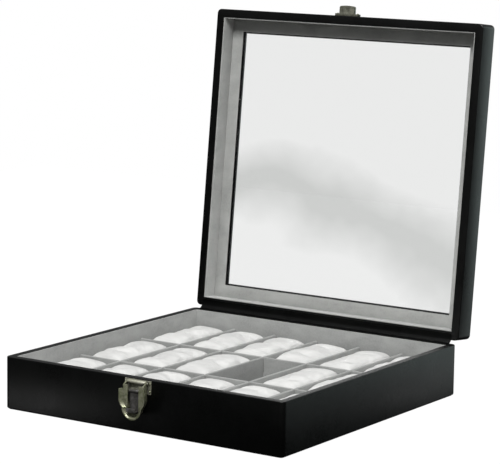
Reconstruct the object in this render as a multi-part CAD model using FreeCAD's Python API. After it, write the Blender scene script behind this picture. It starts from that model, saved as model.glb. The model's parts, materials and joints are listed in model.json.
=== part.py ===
import FreeCAD, Part
import math
import os

# Watch box: a leather-covered case with a glazed lid, a grid of compartments and lift-out cushions.
# Origin: centre of the underside. +X to the right, +Y to the back (the hinge side), +Z up.
# The lid is drawn closed and then turned open about the hinge axis, because it is stored open.

# ---- Case ----
BOX_WIDTH = 330.0
BOX_DEPTH = 327.0
BASE_HEIGHT = 53.5
CORNER_RADIUS = 5.0
COVER = 0.8              # leather covering
BASE_BOARD = 6.4         # wall board of the base
FLOOR_BOARD = 4.0
LINING = 1.2             # suede on card
LINING_DROP = 0.6        # lining edge below the rim
FELT = 1.0
FELT_INSET = 2.0
TURN_UNDER = 14.0        # leather turned in under the base

# ---- Grid and cushions ----
COLUMNS = 6
ROWS = 3
EMPTY_COMPARTMENT = (4, 2)   # column from the left, row from the front
DIVIDER = 3.0
DIVIDER_DROP = 15.8          # divider edge below the rim
DIVIDER_END_PLAY = 0.1
SLOT_PLAY = 0.1
CUSHION_SIDE_GAP = 1.6
CUSHION_END_GAP = 3.0
CUSHION_FLOOR_GAP = 0.3
CUSHION_RISE = 4.0           # cushion crown above the dividers
CUSHION_ROUND = 15.0

# ---- Lid ----
LID_HEIGHT = 25.8
LID_BOARD = 8.0          # wall board of the lid
LID_PANEL = 2.0          # hardboard frame round the window
GLASS = 2.5
GLASS_PLAY = 0.4
INNER_FRAME = 1.2        # suede-covered card that holds the glass
WINDOW_BORDER = 24.8     # outside of the lid to the window's edge
INNER_BORDER = 23.4      # outside of the lid to the inner frame's edge
RIM_GAP = 1.2            # between the rims when closed
LID_OPEN_ANGLE = 96.1

# ---- Hinges ----
HINGE_BACK_PLAY = 0.4    # knuckles to the back face
HINGE_SPACING = 210.0
HINGE_LENGTH = 38.0
KNUCKLE_LENGTH = 12.0    # each outer knuckle
KNUCKLE_GAP = 0.3
KNUCKLE_RADIUS = 1.8
HINGE_PIN_RADIUS = 0.9
PIN_PLAY = 0.05
LEAF_REACH = 6.6         # leaf onto the wall, from the back face
LEAF_POCKET_PLAY = 0.2
SCREW_PITCH = 12.0
SCREW_FROM_BACK = 4.0
SCREW_HEAD_RADIUS = 1.6
SCREW_SHANK_RADIUS = 0.8
SCREW_LENGTH = 6.0
STRIP = 0.4              # hinge strip of thin leather
STRIP_END_INSET = 8.0
STRIP_BACK_INSET = 1.0
STRIP_WIDTH = 6.0

# ---- Clasp on the base ----
SHEET = 1.0              # pressed metal
CLASP_PLATE_WIDTH = 31.0
CLASP_PLATE_HEIGHT = 13.0
CLASP_PLATE_DROP = 1.0   # top edge below the rim
CLASP_TAIL_WIDTH = 17.0
CLASP_TAIL_LENGTH = 15.0
LEVER_PIVOT_DROP = 3.2   # below the rim
LEVER_WIDTH = 23.8
LEVER_FLANGE = 1.2
LEVER_FACE_OUT = 9.0     # front of the lever from the front face
LEVER_BACK_OUT = 2.2     # back edge of its flange
LEVER_HEAD_DROP = 5.5    # top of the lever's face below the rim
LEVER_SIDE_LENGTH = 15.0
LEVER_LENGTH = 30.0
LEVER_TOE_RADIUS = 8.0
LEVER_BOW = 0.7          # bulge of its curved sides
LEVER_LIP = 3.4          # flare of its lip, sideways
LEVER_LIP_OUT = 2.6      # and outwards from its face
LEVER_LIP_DROP = 9.5     # lip's ends below the rim
LEVER_EAR_RADIUS = 1.6
EAR_PLAY = 0.3           # ears to the plate
CLASP_PIN_RADIUS = 0.8
CLASP_PIN_HEAD = 1.3
CLASP_PIN_HEAD_LENGTH = 0.5
CLASP_SIDE_PLAY = 0.35
CLASP_KNUCKLE_RADIUS = 1.7
TONGUE_PIVOT_OUT = 6.8
TONGUE_PIVOT_DROP = 11.2
TONGUE_WIDTH = 10.6
TONGUE_SHEET = 0.9
TONGUE_KNUCKLE_RADIUS = 1.5
TONGUE_TILT = 21.5       # outward from upright when latched, degrees
HOOK_PLAY = 0.4
HOOK_LEG = 3.2           # turned down behind the catch's lip
LEVER_WINDOW_PLAY = 1.2
NAIL_HEAD_RADIUS = 1.3
NAIL_HEAD_HEIGHT = 0.8
NAIL_SHANK_RADIUS = 0.5
NAIL_LENGTH = 5.0
NAIL_MARGIN = 0.3        # head to the plate's side
NAIL_EDGE = 2.6          # centre to the plate's top and bottom

# ---- Catch on the lid ----
CATCH_WIDTH = 28.0
CATCH_HEIGHT = 6.0
CATCH_FOOT = 2.4         # thickness of its foot
CATCH_RISE = 0.8         # lower edge above the lid's rim
NOSE_WIDTH = 18.0
NOSE_OUT = 11.0
NOSE_BOW = 0.9           # bulge of its front
NOSE_RISE = 1.0          # shelf above the rim
NOSE_LIP = 4.0           # shelf's underside to the lip's top
NOSE_CORNER = 1.8

# ---- Places worked out from the sizes ----
HALF_WIDTH = BOX_WIDTH / 2
HALF_DEPTH = BOX_DEPTH / 2
FRONT = -HALF_DEPTH
BACK = HALF_DEPTH
UNDERSIDE = FELT
BOARD_BOTTOM = FELT + COVER
BOARD_TOP = BASE_HEIGHT - COVER
BASE_BOARD_INSET = COVER + BASE_BOARD
LINED_INSET = BASE_BOARD_INSET + LINING
FLOOR_TOP = BOARD_BOTTOM + FLOOR_BOARD
LINED_FLOOR = FLOOR_TOP + LINING
DIVIDER_TOP = BASE_HEIGHT - DIVIDER_DROP
INNER_WIDTH = BOX_WIDTH - 2 * LINED_INSET
INNER_DEPTH = BOX_DEPTH - 2 * LINED_INSET
CELL_WIDTH = (INNER_WIDTH - (COLUMNS - 1) * DIVIDER) / COLUMNS
CELL_DEPTH = (INNER_DEPTH - (ROWS - 1) * DIVIDER) / ROWS
LID_RIM = BASE_HEIGHT + RIM_GAP
LID_TOP = LID_RIM + LID_HEIGHT
PANEL_TOP = LID_TOP - COVER
GLASS_TOP = PANEL_TOP - LID_PANEL
GLASS_BOTTOM = GLASS_TOP - GLASS
INNER_FRAME_BOTTOM = GLASS_BOTTOM - INNER_FRAME
LID_BOARD_INSET = COVER + LID_BOARD
HINGE_Y = BACK + KNUCKLE_RADIUS + HINGE_BACK_PLAY
HINGE_Z = BASE_HEIGHT + RIM_GAP / 2
LEVER_PIVOT = (FRONT - SHEET - LEVER_EAR_RADIUS - EAR_PLAY, BASE_HEIGHT - LEVER_PIVOT_DROP)
TONGUE_PIVOT = (FRONT - TONGUE_PIVOT_OUT, BASE_HEIGHT - TONGUE_PIVOT_DROP)
HOOK_RISE = LID_RIM + NOSE_RISE + NOSE_LIP + HOOK_PLAY - TONGUE_PIVOT[1]
HOOK_LEAN = HOOK_RISE * math.tan(math.radians(TONGUE_TILT))
TONGUE_REACH = TONGUE_SHEET + HOOK_RISE / math.cos(math.radians(TONGUE_TILT))
LIP_BACK = NOSE_OUT - NOSE_BOW - SHEET - HOOK_PLAY
HOOK_GAP = (TONGUE_PIVOT_OUT + HOOK_LEAN - LIP_BACK) / math.cos(math.radians(TONGUE_TILT)) - TONGUE_SHEET / 2


def box(x_range, y_range, z_range):
    """Return a block between the three pairs of coordinates."""
    size = [high - low for low, high in (x_range, y_range, z_range)]
    corner = FreeCAD.Vector(x_range[0], y_range[0], z_range[0])
    return Part.makeBox(*size, corner)


def prism(inset, z_range, radius=0.0):
    """Return an upright block inset from the case's sides, its upright edges rounded."""
    half_x = HALF_WIDTH - inset
    half_y = HALF_DEPTH - inset
    solid = box((-half_x, half_x), (-half_y, half_y), z_range)
    if radius <= 0:
        return solid
    upright = [edge for edge in solid.Edges if abs(edge.tangentAt(0).z) > 0.9]
    return solid.makeFillet(radius, upright)


def ring(outer_inset, inner_inset, z_range, radius=0.0):
    """Return an upright frame between two insets from the case's sides."""
    return prism(outer_inset, z_range, radius).cut(prism(inner_inset, z_range))


def rod(x_range, centre, radius):
    """Return a round bar along X, centred at a (y, z) pair."""
    start = FreeCAD.Vector(x_range[0], centre[0], centre[1])
    return Part.makeCylinder(radius, x_range[1] - x_range[0], start, FreeCAD.Vector(1, 0, 0))


def plate(outline, x_range):
    """Return a plate along X whose outline is a list of (y, z) corners."""
    corners = [FreeCAD.Vector(x_range[0], y, z) for y, z in outline]
    face = Part.Face(Part.makePolygon(corners + corners[:1]))
    return face.extrude(FreeCAD.Vector(x_range[1] - x_range[0], 0, 0))


def fuse(shapes):
    """Return one clean solid joined from several."""
    return shapes[0].multiFuse(shapes[1:]).removeSplitter()


def opened(shape):
    """Return a copy of a lid shape, turned from closed to its open rest."""
    turned = shape.copy()
    turned.rotate(FreeCAD.Vector(0, HINGE_Y, HINGE_Z), FreeCAD.Vector(1, 0, 0), -LID_OPEN_ANGLE)
    return turned


def save(name, shape):
    """Write one node, checked for validity."""
    if not shape.isValid():
        raise ValueError(name + " is not a valid solid")
    shape.exportStep(os.path.join("parts", name + ".step"))


def four_walls(board, z_range):
    """Return front, back, left and right wall boards, the sides fitted between front and back."""
    core = prism(COVER, z_range, CORNER_RADIUS - COVER)
    x_outer = HALF_WIDTH - COVER
    y_outer = HALF_DEPTH - COVER
    across = (-x_outer, x_outer)
    between = (-y_outer + board, y_outer - board)
    return {
        "front": core.common(box(across, (-y_outer, -y_outer + board), z_range)),
        "back": core.common(box(across, (y_outer - board, y_outer), z_range)),
        "left": box((-x_outer, -x_outer + board), between, z_range),
        "right": box((x_outer - board, x_outer), between, z_range),
    }


def leaf_pockets(z_range):
    """Return the cuts that let the hinge leaves lie flush in the leather of a rim."""
    pockets = []
    for side in (-1, 1):
        centre = side * HINGE_SPACING / 2
        half = HINGE_LENGTH / 2 + LEAF_POCKET_PLAY
        reach = (BACK - LEAF_REACH - LEAF_POCKET_PLAY, BACK + COVER)
        pockets.append(box((centre - half, centre + half), reach, z_range))
    return pockets


def base_parts():
    """Return the base's boards, leather, linings and felt."""
    board_range = (BOARD_BOTTOM, BOARD_TOP)
    nodes = {}
    for side, wall in four_walls(BASE_BOARD, board_range).items():
        nodes["base_wall_" + side] = wall
    nodes["base_floor_board"] = prism(BASE_BOARD_INSET, (BOARD_BOTTOM, FLOOR_TOP))
    cover = prism(0, (UNDERSIDE, BASE_HEIGHT), CORNER_RADIUS)
    cover = cover.cut(prism(COVER, board_range, CORNER_RADIUS - COVER))
    cover = cover.cut(prism(BASE_BOARD_INSET, (BOARD_TOP, BASE_HEIGHT)))
    cover = cover.cut(prism(TURN_UNDER, (UNDERSIDE, BOARD_BOTTOM)))
    for pocket in leaf_pockets((BOARD_TOP, BASE_HEIGHT)):
        cover = cover.cut(pocket)
    nodes["base_leather"] = cover
    nodes["base_felt"] = prism(FELT_INSET, (0, FELT), CORNER_RADIUS - FELT_INSET)
    nodes["base_floor_lining"] = prism(BASE_BOARD_INSET, (FLOOR_TOP, LINED_FLOOR))
    nodes["base_wall_lining"] = ring(BASE_BOARD_INSET, LINED_INSET, (LINED_FLOOR, BASE_HEIGHT - LINING_DROP))
    return nodes


def cell_start(index, size, inner):
    """Return where compartment number index (from 1) starts along one direction."""
    return -inner / 2 + (index - 1) * (size + DIVIDER)


def divider_places(count, size, inner):
    """Return the lower coordinate of each divider along one direction."""
    return [cell_start(index, size, inner) + size for index in range(1, count)]


def divider_parts():
    """Return the interlocking dividers: rows slotted from above, columns from below."""
    middle = (LINED_FLOOR + DIVIDER_TOP) / 2
    half_x = INNER_WIDTH / 2 - DIVIDER_END_PLAY
    half_y = INNER_DEPTH / 2 - DIVIDER_END_PLAY
    x_places = divider_places(COLUMNS, CELL_WIDTH, INNER_WIDTH)
    y_places = divider_places(ROWS, CELL_DEPTH, INNER_DEPTH)
    nodes = {}
    for number, y_low in enumerate(y_places, 1):
        board = box((-half_x, half_x), (y_low, y_low + DIVIDER), (LINED_FLOOR, DIVIDER_TOP))
        for x_low in x_places:
            slot_x = (x_low - SLOT_PLAY, x_low + DIVIDER + SLOT_PLAY)
            slot = box(slot_x, (y_low, y_low + DIVIDER), (middle - SLOT_PLAY, DIVIDER_TOP))
            board = board.cut(slot)
        nodes["row_divider_%d" % number] = board
    for number, x_low in enumerate(x_places, 1):
        board = box((x_low, x_low + DIVIDER), (-half_y, half_y), (LINED_FLOOR, DIVIDER_TOP))
        for y_low in y_places:
            slot_y = (y_low - SLOT_PLAY, y_low + DIVIDER + SLOT_PLAY)
            slot = box((x_low, x_low + DIVIDER), slot_y, (LINED_FLOOR, middle + SLOT_PLAY))
            board = board.cut(slot)
        nodes["column_divider_%d" % number] = board
    return nodes


def cushion_parts():
    """Return one cushion for each compartment except the empty one."""
    z_range = (LINED_FLOOR + CUSHION_FLOOR_GAP, DIVIDER_TOP + CUSHION_RISE)
    radius = min(CUSHION_ROUND, 0.45 * (z_range[1] - z_range[0]))
    nodes = {}
    for row in range(1, ROWS + 1):
        for column in range(1, COLUMNS + 1):
            if (column, row) == EMPTY_COMPARTMENT:
                continue
            x_low = cell_start(column, CELL_WIDTH, INNER_WIDTH)
            y_low = cell_start(row, CELL_DEPTH, INNER_DEPTH)
            x_range = (x_low + CUSHION_SIDE_GAP, x_low + CELL_WIDTH - CUSHION_SIDE_GAP)
            y_range = (y_low + CUSHION_END_GAP, y_low + CELL_DEPTH - CUSHION_END_GAP)
            pad = box(x_range, y_range, z_range)
            along_x = [edge for edge in pad.Edges if abs(edge.tangentAt(0).x) > 0.9]
            nodes["cushion_row%d_col%d" % (row, column)] = pad.makeFillet(radius, along_x)
    return nodes


def lid_parts():
    """Return the lid's boards, leather, linings and glass, drawn closed."""
    board_range = (LID_RIM + COVER, PANEL_TOP)
    nodes = {}
    for side, wall in four_walls(LID_BOARD, (LID_RIM + COVER, GLASS_TOP)).items():
        nodes["lid_wall_" + side] = wall
    window = WINDOW_BORDER - COVER
    nodes["lid_window_frame"] = ring(COVER, window, (GLASS_TOP, PANEL_TOP), CORNER_RADIUS - COVER)
    cover = prism(0, (LID_RIM, LID_TOP), CORNER_RADIUS)
    cover = cover.cut(prism(COVER, board_range, CORNER_RADIUS - COVER))
    cover = cover.cut(prism(LID_BOARD_INSET, (LID_RIM, LID_RIM + COVER)))
    cover = cover.cut(prism(window, (PANEL_TOP, LID_TOP)))
    cover = fuse([cover, ring(window, WINDOW_BORDER, (GLASS_TOP, LID_TOP))])
    for pocket in leaf_pockets((LID_RIM, LID_RIM + COVER)):
        cover = cover.cut(pocket)
    nodes["lid_leather"] = cover
    nodes["lid_glass"] = prism(LID_BOARD_INSET + GLASS_PLAY, (GLASS_BOTTOM, GLASS_TOP))
    nodes["lid_inner_frame"] = ring(LID_BOARD_INSET, INNER_BORDER, (INNER_FRAME_BOTTOM, GLASS_BOTTOM))
    lining_inset = LID_BOARD_INSET + LINING
    lining_range = (LID_RIM + LINING_DROP, INNER_FRAME_BOTTOM)
    nodes["lid_wall_lining"] = ring(LID_BOARD_INSET, lining_inset, lining_range)
    return nodes


def countersunk_screw(x, y, z, direction, play=0.0):
    """Return a flat-headed screw whose head lies flush at z and whose shank runs along direction."""
    point = FreeCAD.Vector(x, y, z)
    along = FreeCAD.Vector(0, 0, direction)
    head = Part.makeCone(SCREW_HEAD_RADIUS + play, SCREW_SHANK_RADIUS + play, COVER, point, along)
    shank = Part.makeCylinder(SCREW_SHANK_RADIUS + play, SCREW_LENGTH, point, along)
    return fuse([head, shank])


def screw_row(centre, z, direction, play=0.0):
    """Return the three screws of one hinge leaf."""
    y = BACK - SCREW_FROM_BACK
    places = (centre - SCREW_PITCH, centre, centre + SCREW_PITCH)
    return [countersunk_screw(x, y, z, direction, play) for x in places]


def hinge_leaf(centre, plate_range, own_spans, other_spans, head_z, direction):
    """Return one hinge leaf: a plate on the rim with its knuckles bored for the pin."""
    half = HINGE_LENGTH / 2
    axis = (HINGE_Y, HINGE_Z)
    leaf = box((centre - half, centre + half), (BACK - LEAF_REACH, HINGE_Y), plate_range)
    knuckles = [rod((centre + low, centre + high), axis, KNUCKLE_RADIUS) for low, high in own_spans]
    leaf = fuse([leaf] + knuckles)
    for low, high in other_spans:
        leaf = leaf.cut(rod((centre + low, centre + high), axis, KNUCKLE_RADIUS + KNUCKLE_GAP))
    leaf = leaf.cut(rod((centre - half, centre + half), axis, HINGE_PIN_RADIUS + PIN_PLAY))
    for screw in screw_row(centre, head_z, direction, PIN_PLAY):
        leaf = leaf.cut(screw)
    return leaf


def hinge_parts():
    """Return the fixed and the moving parts of the two hinges, the moving ones drawn closed."""
    half = HINGE_LENGTH / 2
    inner = half - KNUCKLE_LENGTH
    outer_spans = [(-half, -inner), (inner, half)]
    centre_span = [(-inner + KNUCKLE_GAP, inner - KNUCKLE_GAP)]
    outer_cuts = [(-half, -inner + KNUCKLE_GAP), (inner - KNUCKLE_GAP, half)]
    centre_cut = [(-inner, inner)]
    base_leaf_range = (BASE_HEIGHT - COVER, BASE_HEIGHT)
    lid_leaf_range = (LID_RIM, LID_RIM + COVER)
    fixed = {}
    moving = {}
    pins = []
    base_screws = []
    lid_screws = []
    for side, name in ((-1, "left"), (1, "right")):
        centre = side * HINGE_SPACING / 2
        fixed["hinge_%s_base_leaf" % name] = hinge_leaf(
            centre, base_leaf_range, outer_spans, centre_cut, BASE_HEIGHT, -1)
        moving["hinge_%s_lid_leaf" % name] = hinge_leaf(
            centre, lid_leaf_range, centre_span, outer_cuts, LID_RIM, 1)
        pins.append(rod((centre - half, centre + half), (HINGE_Y, HINGE_Z), HINGE_PIN_RADIUS))
        base_screws += screw_row(centre, BASE_HEIGHT, -1)
        lid_screws += screw_row(centre, LID_RIM, 1)
    fixed["hinge_pins"] = Part.makeCompound(pins)
    fixed["hinge_base_screws"] = Part.makeCompound(base_screws)
    moving["hinge_lid_screws"] = Part.makeCompound(lid_screws)
    strip_x = (-HALF_WIDTH + STRIP_END_INSET, HALF_WIDTH - STRIP_END_INSET)
    strip_y = (BACK - STRIP_BACK_INSET - STRIP_WIDTH, BACK - STRIP_BACK_INSET)
    fixed["hinge_strip_base_half"] = box(strip_x, strip_y, (BASE_HEIGHT, BASE_HEIGHT + STRIP))
    moving["hinge_strip_lid_half"] = box(strip_x, strip_y, (LID_RIM - STRIP, LID_RIM))
    return fixed, moving


def nail(x, y, z):
    """Return a round-headed nail driven backwards into a front board."""
    point = FreeCAD.Vector(x, y, z)
    back = FreeCAD.Vector(0, 1, 0)
    sphere_radius = (NAIL_HEAD_RADIUS ** 2 + NAIL_HEAD_HEIGHT ** 2) / (2 * NAIL_HEAD_HEIGHT)
    centre = FreeCAD.Vector(x, y + sphere_radius - NAIL_HEAD_HEIGHT, z)
    ball = Part.makeSphere(sphere_radius, centre)
    block = box((x - NAIL_HEAD_RADIUS, x + NAIL_HEAD_RADIUS), (y - NAIL_HEAD_HEIGHT, y),
                (z - NAIL_HEAD_RADIUS, z + NAIL_HEAD_RADIUS))
    shank = Part.makeCylinder(NAIL_SHANK_RADIUS, NAIL_LENGTH, point, back)
    return fuse([ball.common(block), shank])


def lever_outline(inset):
    """Return the lever's shield outline as a wire in the XZ plane, inset all round."""
    half = LEVER_WIDTH / 2 - inset
    top = BASE_HEIGHT - LEVER_HEAD_DROP - inset
    shoulder = BASE_HEIGHT - LEVER_HEAD_DROP - LEVER_SIDE_LENGTH
    toe = BASE_HEIGHT - LEVER_HEAD_DROP - LEVER_LENGTH + inset
    toe_radius = LEVER_TOE_RADIUS - inset
    toe_side = toe + toe_radius
    waist = (shoulder + toe_side) / 2
    bow = 0.5 * (half + toe_radius) + LEVER_BOW

    def point(x, z):
        """Return a point of the outline, which lies in the XZ plane."""
        return FreeCAD.Vector(x, 0, z)

    edges = [
        Part.LineSegment(point(-half, top), point(half, top)).toShape(),
        Part.LineSegment(point(half, top), point(half, shoulder)).toShape(),
        Part.Arc(point(half, shoulder), point(bow, waist), point(toe_radius, toe_side)).toShape(),
        Part.Arc(point(toe_radius, toe_side), point(0, toe), point(-toe_radius, toe_side)).toShape(),
        Part.Arc(point(-toe_radius, toe_side), point(-bow, waist), point(-half, shoulder)).toShape(),
        Part.LineSegment(point(-half, shoulder), point(-half, top)).toShape(),
    ]
    return Part.Wire(edges)


def shield(inset, y_range):
    """Return the lever's outline, inset, as a block between two Y coordinates."""
    face = Part.Face(lever_outline(inset))
    face.translate(FreeCAD.Vector(0, y_range[0], 0))
    return face.extrude(FreeCAD.Vector(0, y_range[1] - y_range[0], 0))


def lever_flare(inset):
    """Return a flared block from the lever's face to the edge of its lip, both inset."""
    face_y = FRONT - LEVER_FACE_OUT + SHEET
    lip_y = FRONT - LEVER_FACE_OUT - LEVER_LIP_OUT
    wires = []
    for margin, y in ((inset, face_y), (inset - LEVER_LIP, lip_y)):
        wire = lever_outline(margin)
        wire.translate(FreeCAD.Vector(0, y, 0))
        wires.append(wire)
    return Part.makeLoft(wires, True, True)


def lever_lip():
    """Return the flared lip round the lever's sides and toe."""
    low_y = FRONT - LEVER_FACE_OUT - LEVER_LIP_OUT
    high_y = FRONT - LEVER_FACE_OUT + SHEET
    reach = LEVER_WIDTH / 2 + LEVER_LIP
    keep = box((-reach, reach), (low_y, high_y), (0, BASE_HEIGHT - LEVER_LIP_DROP))
    return lever_flare(0).cut(lever_flare(LEVER_FLANGE)).common(keep)


def clasp_lever():
    """Return the lever: a dished shield with a window for the tongue and two pivot ears."""
    face_y = FRONT - LEVER_FACE_OUT
    back_y = FRONT - LEVER_BACK_OUT
    body = shield(0, (face_y, back_y)).cut(shield(LEVER_FLANGE, (face_y + SHEET, back_y)))
    top = BASE_HEIGHT - LEVER_HEAD_DROP
    half_window = TONGUE_WIDTH / 2 + LEVER_WINDOW_PLAY
    window_low = TONGUE_PIVOT[1] - TONGUE_REACH - LEVER_WINDOW_PLAY
    body = body.cut(box((-half_window, half_window), (face_y, face_y + SHEET), (window_low, top)))
    flange_gap = LEVER_WIDTH / 2 - LEVER_FLANGE
    body = body.cut(box((-flange_gap, flange_gap), (face_y + SHEET, back_y), (top - LEVER_FLANGE, top)))
    ears = []
    for low in (-LEVER_WIDTH / 2, flange_gap):
        span = (low, low + LEVER_FLANGE)
        pivot_y, pivot_z = LEVER_PIVOT
        outline = [(pivot_y + LEVER_EAR_RADIUS, pivot_z), (pivot_y - LEVER_EAR_RADIUS, pivot_z),
                   (face_y, top), (back_y, top)]
        ears.append(plate(outline, span))
        ears.append(rod(span, LEVER_PIVOT, LEVER_EAR_RADIUS))
    lever = fuse([body, lever_lip()] + ears)
    across = (-LEVER_WIDTH / 2, LEVER_WIDTH / 2)
    lever = lever.cut(rod(across, LEVER_PIVOT, CLASP_PIN_RADIUS + PIN_PLAY))
    return lever.cut(rod(across, TONGUE_PIVOT, CLASP_PIN_RADIUS))


def clasp_tongue():
    """Return the tongue, hanging from its pivot, its hooked end down and turned outwards."""
    pivot_y, pivot_z = TONGUE_PIVOT
    half = TONGUE_WIDTH / 2
    across = (-half, half)
    sheet_y = (pivot_y - TONGUE_SHEET / 2, pivot_y + TONGUE_SHEET / 2)
    strip = box(across, sheet_y, (pivot_z - TONGUE_REACH, pivot_z))
    hook_z = (pivot_z - TONGUE_REACH, pivot_z - TONGUE_REACH + TONGUE_SHEET)
    leg_y = sheet_y[0] - HOOK_GAP
    hook = box(across, (leg_y - TONGUE_SHEET, sheet_y[1]), hook_z)
    leg = box(across, (leg_y - TONGUE_SHEET, leg_y), (hook_z[0], hook_z[1] + HOOK_LEG))
    knuckle = rod(across, TONGUE_PIVOT, TONGUE_KNUCKLE_RADIUS)
    tongue = fuse([strip, hook, leg, knuckle])
    return tongue.cut(rod(across, TONGUE_PIVOT, CLASP_PIN_RADIUS + PIN_PLAY))


def clasp_plate():
    """Return the fixed plate with its tail and the knuckle that holds the lever's pin."""
    top = BASE_HEIGHT - CLASP_PLATE_DROP
    low = top - CLASP_PLATE_HEIGHT
    half = CLASP_PLATE_WIDTH / 2
    y_range = (FRONT - SHEET, FRONT)
    upper = box((-half, half), y_range, (low, top))
    tail_half = CLASP_TAIL_WIDTH / 2
    tail = box((-tail_half, tail_half), y_range, (low - CLASP_TAIL_LENGTH + tail_half, low))
    toe_point = FreeCAD.Vector(0, y_range[0], low - CLASP_TAIL_LENGTH + tail_half)
    toe = Part.makeCylinder(tail_half, SHEET, toe_point, FreeCAD.Vector(0, 1, 0))
    reach = LEVER_WIDTH / 2 - LEVER_FLANGE - CLASP_SIDE_PLAY
    knuckle = rod((-reach, reach), LEVER_PIVOT, CLASP_KNUCKLE_RADIUS)
    web_z = (LEVER_PIVOT[1], LEVER_PIVOT[1] + CLASP_KNUCKLE_RADIUS)
    web = box((-reach, reach), (LEVER_PIVOT[0], FRONT), web_z)
    body = fuse([upper, tail, toe, knuckle, web])
    return body.cut(rod((-reach, reach), LEVER_PIVOT, CLASP_PIN_RADIUS))


def clasp_parts():
    """Return the clasp's parts on the base, the lever and the tongue."""
    flange_outside = LEVER_WIDTH / 2
    head_start = flange_outside + CLASP_SIDE_PLAY
    head_end = head_start + CLASP_PIN_HEAD_LENGTH
    lever_pin = [rod((-head_end, head_end), LEVER_PIVOT, CLASP_PIN_RADIUS)]
    for span in ((-head_end, -head_start), (head_start, head_end)):
        lever_pin.append(rod(span, LEVER_PIVOT, CLASP_PIN_HEAD))
    top = BASE_HEIGHT - CLASP_PLATE_DROP
    heights = (top - NAIL_EDGE, top - CLASP_PLATE_HEIGHT + NAIL_EDGE)
    nail_x = CLASP_PLATE_WIDTH / 2 - NAIL_MARGIN - NAIL_HEAD_RADIUS
    nails = [nail(x, FRONT - SHEET, z) for x in (-nail_x, nail_x) for z in heights]
    plate_shape = clasp_plate()
    for driven in nails:
        plate_shape = plate_shape.cut(driven)
    return {
        "clasp_plate": plate_shape,
        "clasp_nails": Part.makeCompound(nails),
        "clasp_lever_pin": fuse(lever_pin),
        "clasp_lever": clasp_lever(),
        "clasp_tongue": clasp_tongue(),
        "clasp_tongue_pin": rod((-flange_outside, flange_outside), TONGUE_PIVOT, CLASP_PIN_RADIUS),
    }


def nose_block(half, side_y, front_y, z_range):
    """Return the catch's nose as a block whose front bulges from side_y to front_y."""
    corners = [FreeCAD.Vector(x, y, z_range[0]) for x, y in ((-half, side_y), (0, front_y), (half, side_y))]
    roots = [FreeCAD.Vector(x, FRONT, z_range[0]) for x in (half, -half)]
    edges = [Part.Arc(*corners).toShape(), Part.makeLine(corners[2], roots[0]),
             Part.makeLine(roots[0], roots[1]), Part.makeLine(roots[1], corners[0])]
    return Part.Face(Part.Wire(edges)).extrude(FreeCAD.Vector(0, 0, z_range[1] - z_range[0]))


def catch_parts():
    """Return the catch and its nails, drawn with the lid closed."""
    low = LID_RIM + CATCH_RISE
    half = CATCH_WIDTH / 2
    foot = box((-half, half), (FRONT - CATCH_FOOT, FRONT), (low, low + CATCH_HEIGHT))
    shelf_z = LID_RIM + NOSE_RISE
    nose_half = NOSE_WIDTH / 2
    nose = nose_block(nose_half, FRONT - NOSE_OUT + NOSE_BOW, FRONT - NOSE_OUT, (shelf_z, shelf_z + NOSE_LIP))
    corners = [edge for edge in nose.Edges
               if abs(edge.tangentAt(0).z) > 0.9 and edge.CenterOfMass.y < FRONT - NOSE_OUT / 2]
    nose = nose.makeFillet(NOSE_CORNER, corners)
    hollow_y = (FRONT - NOSE_OUT + NOSE_BOW + SHEET, FRONT - CATCH_FOOT)
    hollow = box((-nose_half + SHEET, nose_half - SHEET), hollow_y, (shelf_z + SHEET, shelf_z + NOSE_LIP))
    catch = fuse([foot, nose.cut(hollow)])
    nail_x = half - NAIL_MARGIN - NAIL_HEAD_RADIUS
    nails = [nail(x, FRONT - CATCH_FOOT, low + CATCH_HEIGHT / 2) for x in (-nail_x, nail_x)]
    for driven in nails:
        catch = catch.cut(driven)
    return {"catch_plate": catch, "catch_nails": Part.makeCompound(nails)}


def main():
    """Build every node and write it."""
    os.makedirs("parts", exist_ok=True)
    hinge_fixed, hinge_moving = hinge_parts()
    for group in (base_parts(), divider_parts(), cushion_parts(), hinge_fixed, clasp_parts()):
        for name, shape in group.items():
            save(name, shape)
    for group in (lid_parts(), hinge_moving, catch_parts()):
        for name, shape in group.items():
            save(name, opened(shape))


main()
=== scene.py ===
"""A glazed watch box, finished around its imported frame: leather, suede, velvet, glass and metal."""
import json
import logging
import math
from dataclasses import dataclass
from enum import Enum
from typing import Callable, Iterable

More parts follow.
